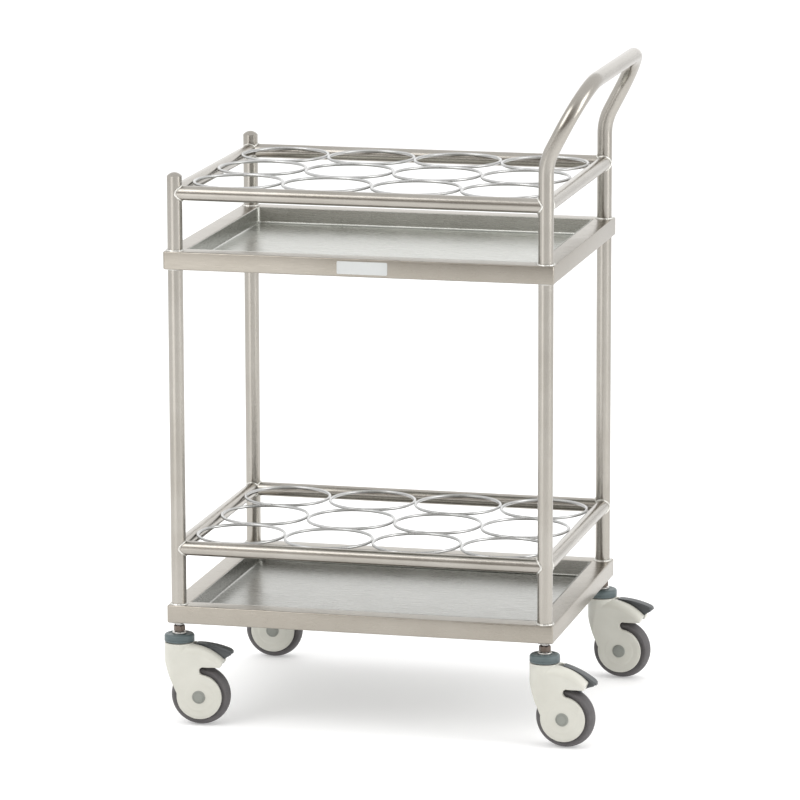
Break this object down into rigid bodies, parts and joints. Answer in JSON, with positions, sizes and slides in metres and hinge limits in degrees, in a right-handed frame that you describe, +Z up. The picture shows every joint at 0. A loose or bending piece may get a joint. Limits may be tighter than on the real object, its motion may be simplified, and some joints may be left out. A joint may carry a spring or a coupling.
{
  "type": "instrument cart",
  "caption": "Tiered stainless instrument cart: boxed rims with sunk trays, wire ring racks above them, a leaning push handle and braked swivel casters.",
  "frame": {"origin": "on the floor under the middle of the overall box", "axes": "+Z up, +X towards the push handle, -Y towards the front side with the blank plate"},
  "size_m": [0.7353, 0.5278, 1.0979],
  "materials": {
    "tube_steel": "satin polished",
    "rim_steel": "satin",
    "tray_steel": "satin",
    "wire_steel": "bright drawn",
    "plate_steel": "matt",
    "fastener_steel": "dull plated",
    "pin_steel": "turned",
    "socket_plastic": "moulded",
    "caster_plastic": "smooth moulded",
    "cover_plastic": "moulded",
    "pedal_plastic": "moulded",
    "hub_cap_plastic": "moulded",
    "core_plastic": "moulded",
    "tyre_rubber": "smooth",
    "bush_plastic": "turned"
  },
  "bodies": {
    "frame": {"post_front_left": "tube_steel", "post_back_left": "tube_steel", "handle_tube": "tube_steel", "post_caps": "tube_steel", "upper_rim": "rim_steel", "lower_rim": "rim_steel", "upper_tray": "tray_steel", "lower_tray": "tray_steel", "blank_plate": "plate_steel", "upper_rail_front": "tube_steel", "upper_rail_back": "tube_steel", "upper_rail_left": "tube_steel", "upper_rail_right": "tube_steel", "lower_rail_front": "tube_steel", "lower_rail_back": "tube_steel", "lower_rail_left": "tube_steel", "lower_rail_right": "tube_steel", "upper_rings_front": "wire_steel", "upper_rings_middle": "wire_steel", "upper_rings_back": "wire_steel", "lower_rings_front": "wire_steel", "lower_rings_middle": "wire_steel", "lower_rings_back": "wire_steel", "stem_sockets": "socket_plastic", "caster_stems": "pin_steel", "stem_nuts": "fastener_steel", "head_covers": "cover_plastic", "swivel_washers": "pin_steel"},
    "fork_body_front_left": {"fork_front_left": "caster_plastic", "axle_front_left": "pin_steel", "hub_caps_front_left": "hub_cap_plastic", "pedal_pin_front_left": "pin_steel"},
    "wheel_body_front_left": {"core_front_left": "core_plastic", "tyre_front_left": "tyre_rubber", "bush_front_left": "bush_plastic"},
    "pedal_body_front_left": {"pedal_front_left": "pedal_plastic"},
    "fork_body_front_right": {"fork_front_right": "caster_plastic", "axle_front_right": "pin_steel", "hub_caps_front_right": "hub_cap_plastic", "pedal_pin_front_right": "pin_steel"},
    "wheel_body_front_right": {"core_front_right": "core_plastic", "tyre_front_right": "tyre_rubber", "bush_front_right": "bush_plastic"},
    "pedal_body_front_right": {"pedal_front_right": "pedal_plastic"},
    "fork_body_back_left": {"fork_back_left": "caster_plastic", "axle_back_left": "pin_steel", "hub_caps_back_left": "hub_cap_plastic", "pedal_pin_back_left": "pin_steel"},
    "wheel_body_back_left": {"core_back_left": "core_plastic", "tyre_back_left": "tyre_rubber", "bush_back_left": "bush_plastic"},
    "pedal_body_back_left": {"pedal_back_left": "pedal_plastic"},
    "fork_body_back_right": {"fork_back_right": "caster_plastic", "axle_back_right": "pin_steel", "hub_caps_back_right": "hub_cap_plastic", "pedal_pin_back_right": "pin_steel"},
    "wheel_body_back_right": {"core_back_right": "core_plastic", "tyre_back_right": "tyre_rubber", "bush_back_right": "bush_plastic"},
    "pedal_body_back_right": {"pedal_back_right": "pedal_plastic"}
  },
  "joints": [
    {"name": "swivel_front_left", "type": "hinge", "parent": "frame", "child": "fork_body_front_left", "pos_m": [-0.34, -0.2345, 0.12], "axis": [0, 0, 1], "continuous": true},
    {"name": "spin_front_left", "type": "hinge", "parent": "fork_body_front_left", "child": "wheel_body_front_left", "pos_m": [-0.30409, -0.23199, 0.05], "axis": [-0.0698, 0.9976, 0], "continuous": true},
    {"name": "brake_front_left", "type": "hinge", "parent": "fork_body_front_left", "child": "pedal_body_front_left", "pos_m": [-0.31107, -0.23248, 0.124], "axis": [-0.0698, 0.9976, 0], "range_deg": [0, 14]},
    {"name": "swivel_front_right", "type": "hinge", "parent": "frame", "child": "fork_body_front_right", "pos_m": [0.279, -0.2345, 0.12], "axis": [0, 0, 1], "continuous": true},
    {"name": "spin_front_right", "type": "hinge", "parent": "fork_body_front_right", "child": "wheel_body_front_right", "pos_m": [0.31486, -0.23764, 0.05], "axis": [0.0872, 0.9962, 0], "continuous": true},
    {"name": "brake_front_right", "type": "hinge", "parent": "fork_body_front_right", "child": "pedal_body_front_right", "pos_m": [0.30789, -0.23703, 0.124], "axis": [0.0872, 0.9962, 0], "range_deg": [-14, 0]},
    {"name": "swivel_back_left", "type": "hinge", "parent": "frame", "child": "fork_body_back_left", "pos_m": [-0.34, 0.2345, 0.12], "axis": [0, 0, 1], "continuous": true},
    {"name": "spin_back_left", "type": "hinge", "parent": "fork_body_back_left", "child": "wheel_body_back_left", "pos_m": [-0.30409, 0.23701, 0.05], "axis": [-0.0698, 0.9976, 0], "continuous": true},
    {"name": "brake_back_left", "type": "hinge", "parent": "fork_body_back_left", "child": "pedal_body_back_left", "pos_m": [-0.31107, 0.23652, 0.124], "axis": [-0.0698, 0.9976, 0], "range_deg": [0, 14]},
    {"name": "swivel_back_right", "type": "hinge", "parent": "frame", "child": "fork_body_back_right", "pos_m": [0.279, 0.2345, 0.12], "axis": [0, 0, 1], "continuous": true},
    {"name": "spin_back_right", "type": "hinge", "parent": "fork_body_back_right", "child": "wheel_body_back_right", "pos_m": [0.31486, 0.23136, 0.05], "axis": [0.0872, 0.9962, 0], "continuous": true},
    {"name": "brake_back_right", "type": "hinge", "parent": "fork_body_back_right", "child": "pedal_body_back_right", "pos_m": [0.30789, 0.23197, 0.124], "axis": [0.0872, 0.9962, 0], "range_deg": [0, 14]}
  ]
}
